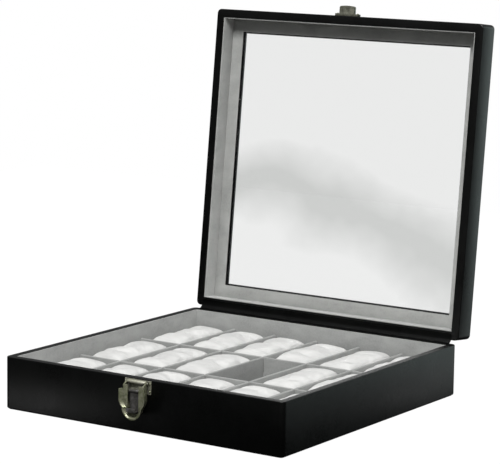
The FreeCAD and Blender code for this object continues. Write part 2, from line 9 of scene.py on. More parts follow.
import bmesh
import bpy
from mathutils import Matrix, Quaternion, Vector, noise
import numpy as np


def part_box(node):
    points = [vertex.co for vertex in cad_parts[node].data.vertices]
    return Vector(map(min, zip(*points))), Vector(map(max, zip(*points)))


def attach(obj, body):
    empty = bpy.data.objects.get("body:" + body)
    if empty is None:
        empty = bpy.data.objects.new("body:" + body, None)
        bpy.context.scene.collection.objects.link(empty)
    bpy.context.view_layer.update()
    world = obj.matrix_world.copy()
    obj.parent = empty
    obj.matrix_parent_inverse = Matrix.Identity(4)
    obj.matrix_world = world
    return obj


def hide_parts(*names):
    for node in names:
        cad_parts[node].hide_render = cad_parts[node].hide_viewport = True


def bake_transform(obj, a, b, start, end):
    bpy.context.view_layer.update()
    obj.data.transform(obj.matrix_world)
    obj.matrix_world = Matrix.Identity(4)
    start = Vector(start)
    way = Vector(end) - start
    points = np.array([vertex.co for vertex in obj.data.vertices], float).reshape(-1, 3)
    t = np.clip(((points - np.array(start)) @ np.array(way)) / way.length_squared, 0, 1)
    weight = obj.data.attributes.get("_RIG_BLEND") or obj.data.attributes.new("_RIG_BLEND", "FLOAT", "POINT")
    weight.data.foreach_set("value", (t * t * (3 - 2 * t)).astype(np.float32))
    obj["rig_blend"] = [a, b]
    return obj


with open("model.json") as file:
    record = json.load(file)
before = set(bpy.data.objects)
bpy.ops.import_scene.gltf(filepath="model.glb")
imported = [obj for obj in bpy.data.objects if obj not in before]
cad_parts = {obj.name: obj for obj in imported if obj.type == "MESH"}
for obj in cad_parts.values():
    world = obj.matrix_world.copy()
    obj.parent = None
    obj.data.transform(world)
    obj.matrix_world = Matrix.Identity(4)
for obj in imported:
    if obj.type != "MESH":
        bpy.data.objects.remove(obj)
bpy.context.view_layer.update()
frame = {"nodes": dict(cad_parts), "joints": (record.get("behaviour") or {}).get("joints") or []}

MM = 0.001
HAIR = 1e-5
OVERSHOOT = 1.0 * MM
LOG = logging.getLogger("watch_box")

Test = Callable[[Vector, Vector], bool]
Colour = tuple[float, float, float]
Triple = tuple[float, float, float]
Span = tuple[float, float]


class Slot(Enum):
    """The record's material slots, one for each finish."""

    LEATHER = "case_leather"
    SUEDE = "lining_suede"
    VELVET = "cushion_velvet"
    BOARD = "wall_board"
    GLASS = "window_glass"
    NICKEL = "aged_nickel"
    STEEL = "hinge_steel"
    FELT = "underside_felt"


class Body(Enum):
    """The bodies that pieces ride on."""

    BASE = "base"
    LID = "lid"
    LEVER = "clasp_lever"
    TONGUE = "clasp_tongue"


# ---------------------------------------------------------------- modelling


class Bench:
    """The modelling moves that every piece is made with."""

    @staticmethod
    def clear() -> None:
        """Leave edit mode and select nothing."""
        if bpy.context.object and bpy.context.object.mode != "OBJECT":
            bpy.ops.object.mode_set(mode="OBJECT")
        bpy.ops.object.select_all(action="DESELECT")

    @classmethod
    def pick(cls, piece: bpy.types.Object) -> None:
        """Make piece the only selected object, and the active one.

        Args:
            piece: The object to work on.
        """
        cls.clear()
        piece.select_set(True)
        bpy.context.view_layer.objects.active = piece

    @classmethod
    def block(cls, name: str, low: Iterable[float], high: Iterable[float]) -> bpy.types.Object:
        """Add a block between two corners, its place held in its mesh.

        Args:
            name: The object's name.
            low: The lowest corner, in metres.
            high: The highest corner, in metres.

        Returns:
            The new object.
        """
        cls.clear()
        low, high = Vector(low), Vector(high)
        bpy.ops.mesh.primitive_cube_add(size=1, location=(low + high) / 2, scale=high - low)
        piece = bpy.context.object
        piece.name = piece.data.name = name
        bpy.ops.object.transform_apply(location=True, rotation=True, scale=True)
        return piece

    @classmethod
    def select(cls, piece: bpy.types.Object, test: Test) -> int:
        """Enter edit mode with only the edges that pass a test selected.

        Args:
            piece: The object to edit.
            test: Says whether the edge between two points is wanted.

        Returns:
            How many were selected.
        """
        cls.pick(piece)
        bpy.ops.object.mode_set(mode="EDIT")
        bpy.ops.mesh.select_mode(type="EDGE")
        bpy.ops.mesh.select_all(action="DESELECT")
        work = bmesh.from_edit_mesh(piece.data)
        chosen = [e for e in work.edges if test(e.verts[0].co, e.verts[1].co)]
        for edge in chosen:
            edge.select = True
        work.select_flush_mode()
        bmesh.update_edit_mesh(piece.data)
        return len(chosen)

    @classmethod
    def bevel(cls, piece: bpy.types.Object, test: Test, width: float, segments: int = 3) -> None:
        """Round the edges that pass a test.

        Args:
            piece: The object to edit.
            test: Says whether the edge between two points is rounded.
            width: The rounding's width.
            segments: The number of flats across it.
        """
        if cls.select(piece, test):
            bpy.ops.mesh.bevel(offset=width, segments=segments, affect="EDGES", clamp_overlap=True)
        cls.clear()

    @classmethod
    def modify(cls, piece: bpy.types.Object, kind: str, **values: object) -> None:
        """Add a modifier, set it and apply it.

        Args:
            piece: The object to change.
            kind: The modifier's type.
            **values: Its settings.
        """
        cls.pick(piece)
        change = piece.modifiers.new(kind.title(), kind)
        for key, value in values.items():
            setattr(change, key, value)
        bpy.ops.object.modifier_apply(modifier=change.name)
        cls.clear()

    @classmethod
    def cut(cls, piece: bpy.types.Object, *cutters: bpy.types.Object) -> None:
        """Take cutters away from piece, and remove them.

        Args:
            piece: What is cut.
            *cutters: The shapes taken away.
        """
        for cutter in cutters:
            cls.modify(piece, "BOOLEAN", operation="DIFFERENCE", solver="EXACT", object=cutter)
            bpy.data.objects.remove(cutter)
        cls.merge(piece)

    @classmethod
    def merge(cls, piece: bpy.types.Object) -> None:
        """Merge doubled points and dissolve the edges between triangles on flat areas.

        Args:
            piece: The object to clean.
        """
        cls.pick(piece)
        bpy.ops.object.mode_set(mode="EDIT")
        bpy.ops.mesh.select_all(action="SELECT")
        bpy.ops.mesh.remove_doubles(threshold=HAIR * 0.2)
        bpy.ops.mesh.dissolve_limited(angle_limit=math.radians(1.0))
        cls.clear()

    @classmethod
    def smooth(cls, piece: bpy.types.Object, degrees: float = 35.0) -> None:
        """Shade piece smooth except across edges sharper than an angle.

        Args:
            piece: The object to shade.
            degrees: The angle.
        """
        cls.pick(piece)
        bpy.ops.object.shade_smooth_by_angle(angle=math.radians(degrees))
        cls.clear()

    @classmethod
    def copy(cls, source: bpy.types.Object, name: str) -> bpy.types.Object:
        """Copy an object, with its own mesh and no parent.

        Args:
            source: The object to copy.
            name: The copy's name.

        Returns:
            The copy.
        """
        piece = bpy.data.objects.new(name, source.data.copy())
        piece.data.name = name
        bpy.context.scene.collection.objects.link(piece)
        return piece

    @classmethod
    def softened(cls, node: str, name: str, width: float, segments: int = 2,
                 sharper: float = 30.0) -> bpy.types.Object:
        """Copy a node, merge it and round its sharp edges.

        Args:
            node: The node's name.
            name: The new piece's name.
            width: The rounding's width.
            segments: The number of flats across it.
            sharper: Edges sharper than this many degrees are rounded.

        Returns:
            The new piece.
        """
        piece = cls.copy(frame["nodes"][node], name)
        for key in list(piece.data.attributes.keys()):
            if key.startswith("custom_normal"):
                piece.data.attributes.remove(piece.data.attributes[key])
        cls.merge(piece)
        cls.modify(piece, "BEVEL", width=width, segments=segments, limit_method="ANGLE",
                   angle_limit=math.radians(sharper), use_clamp_overlap=True)
        cls.smooth(piece)
        return piece


@dataclass(frozen=True)
class LidTurn:
    """The turn between the lid's closed place, where it is modelled, and its open rest."""

    joint: str = "lid_hinge"

    def hinge(self) -> dict:
        """Return the lid's joint."""
        return next(j for j in frame["joints"] if j["name"] == self.joint)

    def closing(self) -> Matrix:
        """Work out the turn from open to closed, as the joint has it.

        Returns:
            The turn.
        """
        joint = self.hinge()
        pivot = Matrix.Translation(Vector(joint["pos_m"]))
        turn = Matrix.Rotation(math.radians(joint["range_deg"][0]), 4, Vector(joint["axis"]))
        return pivot @ turn @ pivot.inverted()

    def open(self, piece: bpy.types.Object) -> bpy.types.Object:
        """Turn a piece that was modelled closed to its open rest.

        Args:
            piece: The piece.

        Returns:
            The piece.
        """
        Bench.pick(piece)
        piece.matrix_world = self.closing().inverted() @ piece.matrix_world
        bpy.ops.object.transform_apply(location=True, rotation=True, scale=True)
        Bench.clear()
        return piece

    def box(self, node: str) -> tuple[Vector, Vector]:
        """Find a lid node's corners when the lid is closed.

        Args:
            node: The node's name.

        Returns:
            Its lowest and highest corners.
        """
        turn = self.closing()
        points = [turn @ v.co for v in frame["nodes"][node].data.vertices]
        low = Vector(min(p[axis] for p in points) for axis in range(3))
        high = Vector(max(p[axis] for p in points) for axis in range(3))
        return low, high


def inset(low: Vector, high: Vector, margin: float, heights: Span) -> tuple[Vector, Vector]:
    """Return the corners of a block inset sideways from another.

    Args:
        low: The other's lowest corner.
        high: The other's highest corner.
        margin: How far in from each side.
        heights: Its lower and upper Z.

    Returns:
        Its lowest and highest corners.
    """
    return (Vector((low.x + margin, low.y + margin, heights[0])),
            Vector((high.x - margin, high.y - margin, heights[1])))


def upright(a: Vector, b: Vector) -> bool:
    """Say whether the edge between two points is upright."""
    return abs(a.x - b.x) < HAIR and abs(a.y - b.y) < HAIR and abs(a.z - b.z) > HAIR


def rounded_block(name: str, corners: tuple[Vector, Vector], radius: float,
                  segments: int = 8) -> bpy.types.Object:
    """Return a block whose upright edges are rounded.

    Args:
        name: Its name.
        corners: Its lowest and highest corners.
        radius: The rounding's radius.
        segments: The number of flats round each edge.

    Returns:
        The new object.
    """
    piece = Bench.block(name, *corners)
    Bench.bevel(piece, upright, radius, segments)
    return piece


# ---------------------------------------------------------------- finishes


class Wiring:
    """A node tree that is being put together."""

    def __init__(self, tree: bpy.types.NodeTree) -> None:
        """Take up a node tree."""
        self.tree = tree

    def node(self, kind: str, **values: object) -> bpy.types.Node:
        """Add a node, setting its properties, or its inputs by name.

        Args:
            kind: The node's type.
            **values: Property or input names, with _ for a space, and their values.

        Returns:
            The node.
        """
        made = self.tree.nodes.new(kind)
        for key, value in values.items():
            if hasattr(made, key):
                setattr(made, key, value)
            else:
                made.inputs[key.replace("_", " ")].default_value = value
        return made

    def link(self, source: bpy.types.NodeSocket, target: bpy.types.NodeSocket) -> None:
        """Join an output to an input."""
        self.tree.links.new(source, target)

    def ramp(self, value: bpy.types.NodeSocket, *stops: tuple[float, Colour]) -> bpy.types.NodeSocket:
        """Return a colour that changes with a value.

        Args:
            value: The value.
            *stops: Positions and colours.

        Returns:
            The colour socket.
        """
        made = self.node("ShaderNodeValToRGB")
        band = made.color_ramp.elements
        while len(band) < len(stops):
            band.new(0.5)
        for element, (position, colour) in zip(band, stops):
            element.position = position
            element.color = (*colour, 1.0)
        self.link(value, made.inputs["Fac"])
        return made.outputs["Color"]

    def between(self, value: bpy.types.NodeSocket, source: Span, target: Span,
                curve: str = "LINEAR") -> bpy.types.NodeSocket:
        """Move a value from one range to another.

        Args:
            value: The value.
            source: The range it has.
            target: The range it gets.
            curve: How it runs between them.

        Returns:
            The moved value's socket.
        """
        made = self.node("ShaderNodeMapRange", interpolation_type=curve)
        for name, number in zip(("From Min", "From Max", "To Min", "To Max"), (*source, *target)):
            made.inputs[name].default_value = number
        self.link(value, made.inputs["Value"])
        return made.outputs["Result"]

    def math(self, operation: str, first: bpy.types.NodeSocket,
             second: bpy.types.NodeSocket | float) -> bpy.types.NodeSocket:
        """Do a sum on two values.

        Args:
            operation: The sum.
            first: The first value.
            second: The second, a socket or a number.

        Returns:
            The result's socket.
        """
        made = self.node("ShaderNodeMath", operation=operation)
        self.link(first, made.inputs[0])
        if isinstance(second, (int, float)):
            made.inputs[1].default_value = second
        else:
            self.link(second, made.inputs[1])
        return made.outputs["Value"]

    def blend(self, value: bpy.types.NodeSocket, first: object, second: object,
              kind: str = "MIX") -> bpy.types.NodeSocket:
        """Return a colour mixed from two, each a socket or a colour.

        Args:
            value: How much of the second.
            first: The colour at 0.
            second: The colour at 1.
            kind: The way they are mixed.

        Returns:
            The colour socket.
        """
        made = self.node("ShaderNodeMixRGB", blend_type=kind)
        for name, part in (("Fac", value), ("Color1", first), ("Color2", second)):
            if isinstance(part, bpy.types.NodeSocket):
                self.link(part, made.inputs[name])
            elif isinstance(part, (int, float)):
                made.inputs[name].default_value = part
            else:
                made.inputs[name].default_value = (*part, 1.0)
        return made.outputs["Color"]


class Mix(Wiring):
    """A material that is being mixed, with its shader and its nodes."""

    def __init__(self, name: str) -> None:
        """Start a material with a Principled shader.

        Args:
            name: The material's name.
        """
        self.material = bpy.data.materials.new(name)
        self.material.use_nodes = True
        super().__init__(self.material.node_tree)
        self.shader = self.tree.nodes["Principled BSDF"]
        self.place = self.node("ShaderNodeTexCoord").outputs["Object"]

    def set(self, **values: object) -> None:
        """Set the shader's own sockets, with _ for a space in their names."""
        for key, value in values.items():
            self.shader.inputs[key.replace("_", " ")].default_value = value

    def noise(self, scale: float, detail: float = 3.0, roughness: float = 0.5,
              stretch: Triple = (1, 1, 1), shift: Triple = (0, 0, 0)) -> bpy.types.NodeSocket:
        """Return the value of a noise on Object coordinates.

        Args:
            scale: Features per metre.
            detail: Its octaves.
            roughness: How strong the finer octaves are.
            stretch: A scale along each axis.
            shift: A shift along each axis, in metres.

        Returns:
            The noise's value socket.
        """
        mapping = self.node("ShaderNodeMapping")
        mapping.inputs["Scale"].default_value = stretch
        mapping.inputs["Location"].default_value = shift
        made = self.node("ShaderNodeTexNoise", Scale=scale, Detail=detail, Roughness=roughness)
        self.link(self.place, mapping.inputs["Vector"])
        self.link(mapping.outputs["Vector"], made.inputs["Vector"])
        return made.outputs["Fac"]

    def cells(self, scale: float, feature: str = "F1") -> bpy.types.NodeSocket:
        """Add a Voronoi pattern on Object coordinates.

        Args:
            scale: Cells per metre.
            feature: What its distance is measured to.

        Returns:
            The distance's socket.
        """
        made = self.node("ShaderNodeTexVoronoi", feature=feature, Scale=scale)
        self.link(self.place, made.inputs["Vector"])
        return made.outputs["Distance"]

    def bump(self, height: bpy.types.NodeSocket, depth: float, strength: float = 1.0,
             below: bpy.types.NodeSocket | None = None) -> bpy.types.NodeSocket:
        """Return a normal raised by a height.

        Args:
            height: The height, from 0 to 1.
            depth: What 1 stands for, in metres.
            strength: The share of it that shows.
            below: A normal that it is added to.

        Returns:
            The normal socket.
        """
        made = self.node("ShaderNodeBump", Distance=depth, Strength=strength)
        self.link(height, made.inputs["Height"])
        if below is not None:
            self.link(below, made.inputs["Normal"])
        return made.outputs["Normal"]

    def finish(self, colour: bpy.types.NodeSocket | None = None,
               roughness: bpy.types.NodeSocket | None = None,
               normal: bpy.types.NodeSocket | None = None) -> bpy.types.Material:
        """Join what is given to the shader.

        Args:
            colour: The base colour.
            roughness: The roughness.
            normal: The normal.

        Returns:
            The finished material.
        """
        for name, socket in (("Base Color", colour), ("Roughness", roughness), ("Normal", normal)):
            if socket is not None:
                self.link(socket, self.shader.inputs[name])
        return self.material


@dataclass(frozen=True)
class Leather:
    """Black grained leatherette, a little shiny."""

    name: str = "black_leatherette"
    deep: Colour = (0.0006, 0.0007, 0.0006)
    lifted: Colour = (0.0018, 0.0021, 0.0019)
    pebble: float = 1100.0
    roll: float = 26.0
    ior: float = 1.46

    def material(self) -> bpy.types.Material:
        """Mix pebbled grain with painted shade in its creases, a soft roll of the board and uneven polish.

        Returns:
            The material.
        """
        mix = Mix(self.name)
        mix.set(IOR=self.ior)
        cloud = mix.noise(self.roll, 4.0)
        pebbles = mix.cells(self.pebble)
        creases = mix.cells(self.pebble * 0.45, "DISTANCE_TO_EDGE")
        pores = mix.noise(self.pebble * 2.4, 2.0)
        grain = mix.math("ADD", mix.between(pebbles, (0.0, 0.8), (1.0, 0.0)),
                         mix.between(creases, (0.0, 0.12), (0.0, 0.8)))
        grain = mix.math("ADD", grain, mix.between(pores, (0.3, 0.7), (0.0, 0.3)))
        colour = mix.ramp(cloud, (0.3, self.deep), (0.75, self.lifted))
        # Painted shade: the grain's crease lines are darkened towards the deep colour.
        colour = mix.blend(mix.between(creases, (0.0, 0.06), (0.35, 0.0)), colour, self.deep)
        roughness = mix.math("ADD", mix.between(cloud, (0.3, 0.7), (0.23, 0.30)),
                             mix.between(pores, (0.3, 0.7), (0.0, 0.08)))
        normal = mix.bump(cloud, 0.4 * MM, 0.35)
        normal = mix.bump(grain, 0.05 * MM, 0.5, normal)
        return mix.finish(colour, roughness, normal)


@dataclass(frozen=True)
class Suede:
    """Pale grey suede: brushed nap in soft patches, with fine fibres."""

    name: str = "grey_suede"
    dark: Colour = (0.215, 0.22, 0.213)
    light: Colour = (0.345, 0.35, 0.34)
    patch: float = 38.0
    fibre: float = 2600.0

    def material(self) -> bpy.types.Material:
        """Mix the material.

        Returns:
            The material.
        """
        mix = Mix(self.name)
        mix.set(Sheen_Weight=0.35, Sheen_Roughness=0.5, IOR=1.35)
        patches = mix.noise(self.patch, 5.0, 0.6, (1.0, 1.0, 1.6))
        fibres = mix.noise(self.fibre, 3.0, 0.7, (1.0, 1.0, 0.5))
        specks = mix.noise(self.fibre * 0.22, 4.0, 0.7)
        colour = mix.ramp(patches, (0.3, self.dark), (0.7, self.light))
        colour = mix.blend(mix.between(specks, (0.35, 0.65), (0.0, 0.55)), colour, self.light)
        colour = mix.blend(mix.between(fibres, (0.3, 0.7), (0.28, 0.0)), colour, self.dark)
        height = mix.math("ADD", fibres, mix.math("MULTIPLY", specks, 1.5))
        roughness = mix.between(patches, (0.3, 0.7), (0.82, 0.96))
        return mix.finish(colour, roughness, mix.bump(height, 0.12 * MM, 0.5))


@dataclass(frozen=True)
class Velvet:
    """Near-white velvet with a short pile that lies in streaks and a sheen at its edges."""

    name: str = "pale_velvet"
    hollow: Colour = (0.51, 0.51, 0.50)
    pile: Colour = (0.64, 0.64, 0.625)
    streak: float = 60.0
    fibre: float = 2400.0

    def material(self) -> bpy.types.Material:
        """Mix the material.

        Returns:
            The material.
        """
        mix = Mix(self.name)
        mix.set(Sheen_Weight=0.5, Sheen_Roughness=0.4, IOR=1.35)
        streaks = mix.noise(self.streak, 5.0, 0.6, (0.6, 1.5, 1.0))
        fibres = mix.noise(self.fibre, 3.0, 0.7)
        crush = mix.noise(self.streak * 5.0, 3.0, 0.6, (0.5, 1.6, 1.0))
        colour = mix.ramp(streaks, (0.25, self.hollow), (0.6, self.pile))
        colour = mix.blend(mix.between(fibres, (0.25, 0.7), (0.25, 0.0)), colour, self.hollow)
        height = mix.math("ADD", fibres, mix.math("MULTIPLY", crush, 2.0))
        roughness = mix.between(streaks, (0.3, 0.7), (0.8, 0.95))
        return mix.finish(colour, roughness, mix.bump(height, 0.12 * MM, 0.5))


@dataclass(frozen=True)
class Felt:
    """Charcoal felt of matted fibres."""

    name: str = "charcoal_felt"
    dark: Colour = (0.018, 0.019, 0.020)
    light: Colour = (0.055, 0.057, 0.060)

    def material(self) -> bpy.types.Material:
        """Mix the material.

        Returns:
            The material.
        """
        mix = Mix(self.name)
        mix.set(Sheen_Weight=0.25, Sheen_Roughness=0.6)
        mat = mix.noise(900.0, 5.0, 0.75)
        strand = mix.noise(1800.0, 3.0, 0.6, (1.0, 0.2, 1.0))
        colour = mix.ramp(mix.math("MULTIPLY", mat, strand), (0.1, self.dark), (0.4, self.light))
        return mix.finish(colour, mix.between(mat, (0.3, 0.7), (0.85, 1.0)),
                          mix.bump(mat, 0.3 * MM, 0.6))


@dataclass(frozen=True)
class Board:
    """Pressed fibreboard: fine chips with darker strands."""

    name: str = "fibreboard"
    pulp: Colour = (0.33, 0.23, 0.14)
    strand: Colour = (0.20, 0.13, 0.075)

    def material(self) -> bpy.types.Material:
        """Mix the material.

        Returns:
            The material.
        """
        mix = Mix(self.name)
        chips = mix.noise(420.0, 5.0, 0.7, (1.0, 1.0, 2.5))
        colour = mix.ramp(chips, (0.35, self.strand), (0.6, self.pulp))
        return mix.finish(colour, mix.between(chips, (0.3, 0.7), (0.75, 0.9)),
                          mix.bump(chips, 0.1 * MM, 0.5))


@dataclass(frozen=True)
class WindowGlass:
    """Clear float glass, with a painted reflection in a darker arc across it, and a few wiped streaks."""

    name: str = "clear_glass"
    clear: Colour = (0.85, 0.855, 0.85)
    reflection_grey: Colour = (0.62, 0.63, 0.62)
    arc_centre: Triple = (-0.116, 0.0, -0.286)
    arc_radius: float = 0.477
    arc_width: Span = (6 * MM, 48 * MM)

    def material(self) -> bpy.types.Material:
        """Mix the material.

        Returns:
            The material.
        """
        mix = Mix(self.name)
        mix.set(Transmission_Weight=1.0, IOR=1.45)
        # Painted reflection: a ring round arc_centre in X and Z, with a wavering edge, greys the glass's
        # colour.
        flat = mix.node("ShaderNodeVectorMath", operation="MULTIPLY")
        flat.inputs[1].default_value = (1.0, 0.0, 1.0)
        mix.link(mix.place, flat.inputs[0])
        apart = mix.node("ShaderNodeVectorMath", operation="DISTANCE")
        apart.inputs[1].default_value = self.arc_centre
        mix.link(flat.outputs["Vector"], apart.inputs[0])
        drift = mix.between(mix.noise(9.0, 3.0, 0.5), (0.3, 0.7), (-0.016, 0.016))
        away = mix.math("ADD", apart.outputs["Value"], drift)
        away = mix.math("ABSOLUTE", mix.math("SUBTRACT", away, self.arc_radius), 0.0)
        painted_reflection = mix.between(away, self.arc_width, (0.0, 1.0))
        wipe = mix.noise(30.0, 3.0, 0.6, (0.2, 1.0, 1.0))
        colour = mix.ramp(painted_reflection, (0.0, self.reflection_grey), (1.0, self.clear))
        return mix.finish(colour, mix.between(wipe, (0.4, 0.8), (0.0, 0.02)))


@dataclass(frozen=True)
class Nickel:
    """Aged nickel plate: olive and bright in blotches, with painted shade darkening its hollows, and dark
    pits.
    """

    name: str = "aged_nickel_plate"
    bright: Colour = (0.44, 0.44, 0.32)
    olive: Colour = (0.19, 0.205, 0.12)
    pit_and_shade_dark: Colour = (0.010, 0.010, 0.006)
    reach: float = 5.0 * MM

    def material(self) -> bpy.types.Material:
        """Mix the material.

        Returns:
            The material.
        """
        mix = Mix(self.name)
        mix.set(Metallic=0.65)
        blotch = mix.noise(220.0, 4.0, 0.65)
        pits = mix.noise(1500.0, 2.0, 0.5)
        # Painted shade: ambient occlusion darkens the hollows towards the dark colour; the pits below are
        # the metal's own.
        painted_shade_ao = mix.node("ShaderNodeAmbientOcclusion", samples=8, Distance=self.reach)
        colour = mix.ramp(blotch, (0.38, self.olive), (0.66, self.bright))
        hollow = mix.between(painted_shade_ao.outputs["AO"], (0.45, 0.95), (0.92, 0.0))
        colour = mix.blend(hollow, colour, self.pit_and_shade_dark)
        colour = mix.blend(mix.between(pits, (0.62, 0.72), (0.0, 0.6)), colour, self.pit_and_shade_dark)
        roughness = mix.between(blotch, (0.35, 0.7), (0.46, 0.3))
        return mix.finish(colour, roughness, mix.bump(pits, 0.05 * MM, 0.4))


@dataclass(frozen=True)
class Zinc:
    """Zinc-plated steel with drawn lines along X."""

    name: str = "zinc_plate"
    dull: Colour = (0.42, 0.43, 0.45)
    shine: Colour = (0.66, 0.67, 0.68)

    def material(self) -> bpy.types.Material:
        """Mix the material.

        Returns:
            The material.
        """
        mix = Mix(self.name)
        mix.set(Metallic=1.0)
        drawn = mix.noise(900.0, 3.0, 0.6, (0.05, 1.0, 1.0))
        spangle = mix.noise(260.0, 2.0)
        colour = mix.ramp(spangle, (0.4, self.dull), (0.62, self.shine))
        return mix.finish(colour, mix.between(drawn, (0.3, 0.7), (0.26, 0.42)),
                          mix.bump(drawn, 0.02 * MM, 0.4))


@dataclass(frozen=True)
class Paper:
    """The studio's glowing paper: its floors, and the cards that gleam in the leather."""

    name: str = "studio_paper"
    white: Colour = (0.02, 0.02, 0.02)
    glow: float = 0.985

    def material(self) -> bpy.types.Material:
        """Mix a paper that glows, so that it stays even to its edge.

        Returns:
            The material.
        """
        mix = Mix(self.name)
        mix.set(Emission_Color=(1.0, 1.0, 1.0, 1.0), Emission_Strength=self.glow)
        mottle = mix.noise(12.0, 2.0)
        colour = mix.ramp(mottle, (0.0, self.white), (1.0, self.white))
        return mix.finish(colour, mix.between(mottle, (0.0, 1.0), (0.9, 0.95)))


class Finishes:
    """Every finish, mixed once."""

    def __init__(self) -> None:
        """Mix them."""
        recipes = {Slot.LEATHER: Leather(), Slot.SUEDE: Suede(), Slot.VELVET: Velvet(),
                   Slot.BOARD: Board(), Slot.GLASS: WindowGlass(), Slot.NICKEL: Nickel(),
                   Slot.STEEL: Zinc(), Slot.FELT: Felt()}
        self._made = {slot: recipe.material() for slot, recipe in recipes.items()}

    def of(self, slot: Slot) -> bpy.types.Material:
        """Return the finish of a slot."""
        return self._made[slot]

    def settle(self, piece: bpy.types.Object, body: Body | str, slot: Slot,
               *nodes: str) -> bpy.types.Object:
        """Give a finished piece its finish and its body, and hide the nodes that it replaces.

        Args:
            piece: The finished mesh.
            body: The body it rides on.
            slot: Its slot, which gives its finish.
            *nodes: The nodes it replaces.

        Returns:
            The piece.
        """
        name = body.value if isinstance(body, Body) else body
        piece.data.materials.clear()
        piece.data.materials.append(self.of(slot))
        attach(piece, name)
        if nodes:
            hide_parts(*nodes)
        LOG.info("%s: %d faces, on %s", piece.name, len(piece.data.polygons), name)
        return piece

    def soften(self, node: str, name: str, body: Body, slot: Slot, width: float,
               segments: int = 2) -> bpy.types.Object:
        """Make a piece from a node by rounding its edges, and settle it.

        Args:
            node: The node's name.
            name: The piece's name.
            body: The body it rides on.
            slot: Its slot, which gives its finish.
            width: The rounding's width.
            segments: The number of flats across it.

        Returns:
            The piece.
        """
        return self.settle(Bench.softened(node, name, width, segments), body, slot, node)

    def dress_node(self, node: str, slot: Slot) -> None:
        """Give a node that is shown as it is the finish of a slot.

        Args:
            node: The node's name.
            slot: The slot.
        """
        mesh = frame["nodes"][node].data
        mesh.materials.clear()
        mesh.materials.append(self.of(slot))
        LOG.info("%s: finished in %s", node, slot.value)


# ---------------------------------------------------------------- the base


@dataclass
class Base:
    """The tray: boards wrapped in leather, lined with suede, on a felt underside."""

    finishes: Finishes
    sheet: float = 0.8 * MM
    corner: float = 5.0 * MM
    board: float = 7.2 * MM
    turn_under: float = 14.0 * MM
    top_round: float = 1.5 * MM
    bottom_round: float = 1.2 * MM

    def build(self) -> None:
        """Build the leather, linings and felt, and dress the boards."""
        self._cover()
        for node, name, width in (("base_wall_lining", "tray_wall_suede", 0.35 * MM),
                                  ("base_floor_lining", "tray_floor_suede", 0.3 * MM)):
            self.finishes.soften(node, name, Body.BASE, Slot.SUEDE, width)
        self.finishes.soften("base_felt", "underside_felt_pad", Body.BASE, Slot.FELT, 0.3 * MM)
        for wall in ("wall_front", "wall_back", "wall_left", "wall_right", "floor_board"):
            self.finishes.dress_node("base_" + wall, Slot.BOARD)

    def _cover(self) -> None:
        """Build the leather round the walls, over the rim and turned in underneath."""
        low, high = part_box("base_leather")
        inner = (low.z + self.sheet, high.z - self.sheet)
        cover = rounded_block("tray_leather", (low, high), self.corner, 10)
        core = rounded_block("core", inset(low, high, self.sheet, inner), self.corner - self.sheet, 10)
        mouth = Bench.block("mouth", *inset(low, high, self.board, (inner[1] - HAIR, high.z + OVERSHOOT)))
        under = Bench.block("under", *inset(low, high, self.turn_under,
                                            (low.z - OVERSHOOT, inner[0] + HAIR)))
        Bench.cut(cover, core, mouth, under)
        cut_pockets(cover, ("hinge_left_base_leaf", "hinge_right_base_leaf"),
                    (inner[1] - HAIR, high.z + OVERSHOOT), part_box)
        round_rims(cover, low, high, self.corner,
                   ((high.z, self.top_round, 4), (low.z, self.bottom_round, 3)))
        Bench.smooth(cover, 40.0)
        self.finishes.settle(cover, Body.BASE, Slot.LEATHER, "base_leather")


def on_outer_wall(point: Vector, low: Vector, high: Vector, corner: float) -> bool:
    """Say whether a point lies on the outer wall of a block with rounded upright edges.

    Args:
        point: The point.
        low: The block's lowest corner.
        high: Its highest corner.
        corner: The rounding's radius.

    Returns:
        Whether it does.
    """
    from_side = min(point.x - low.x, high.x - point.x)
    from_end = min(point.y - low.y, high.y - point.y)
    if from_side < corner and from_end < corner:
        return abs(math.hypot(corner - from_side, corner - from_end) - corner) < 4 * HAIR
    return min(from_side, from_end) < HAIR


def round_rims(cover: bpy.types.Object, low: Vector, high: Vector, corner: float,
               rims: Iterable[tuple[float, float, int]]) -> None:
    """Round a cover's outer edges, one rim after another.

    Args:
        cover: The cover.
        low: Its lowest corner.
        high: Its highest corner.
        corner: The rounding of its upright edges.
        rims: For each rim, its Z, its rounding's width and the number of flats across that.
    """
    for height, width, segments in rims:
        Bench.bevel(cover, lambda a, b: all(
            abs(p.z - height) < HAIR and on_outer_wall(p, low, high, corner) for p in (a, b)),
            width, segments)


def cut_pockets(cover: bpy.types.Object, leaves: Iterable[str], heights: Span,
                box: Callable[[str], tuple[Vector, Vector]]) -> None:
    """Cut the places where hinge leaves lie in the leather of a rim.

    Args:
        cover: The leather.
        leaves: The leaves' node names.
        heights: The cuts' lower and upper Z.
        box: Gives a node's corners.
    """
    play = 0.2 * MM
    for leaf in leaves:
        low, high = box(leaf)
        Bench.cut(cover, Bench.block("pocket", (low.x - play, low.y - play, heights[0]),
                                     (high.x + play, high.y + 2 * OVERSHOOT, heights[1])))


@dataclass
class DividerGrid:
    """The interlocking boards, wrapped in suede, that make the compartments."""

    finishes: Finishes
    rows: int = 2
    columns: int = 5
    edge: float = 1.0 * MM

    def build(self) -> None:
        """Build every board with its edges rounded as wrapped suede is."""
        names = [f"row_divider_{n}" for n in range(1, self.rows + 1)]
        names += [f"column_divider_{n}" for n in range(1, self.columns + 1)]
        for node in names:
            self.finishes.soften(node, node.replace("divider", "board"), Body.BASE, Slot.SUEDE,
                                 self.edge, 3)


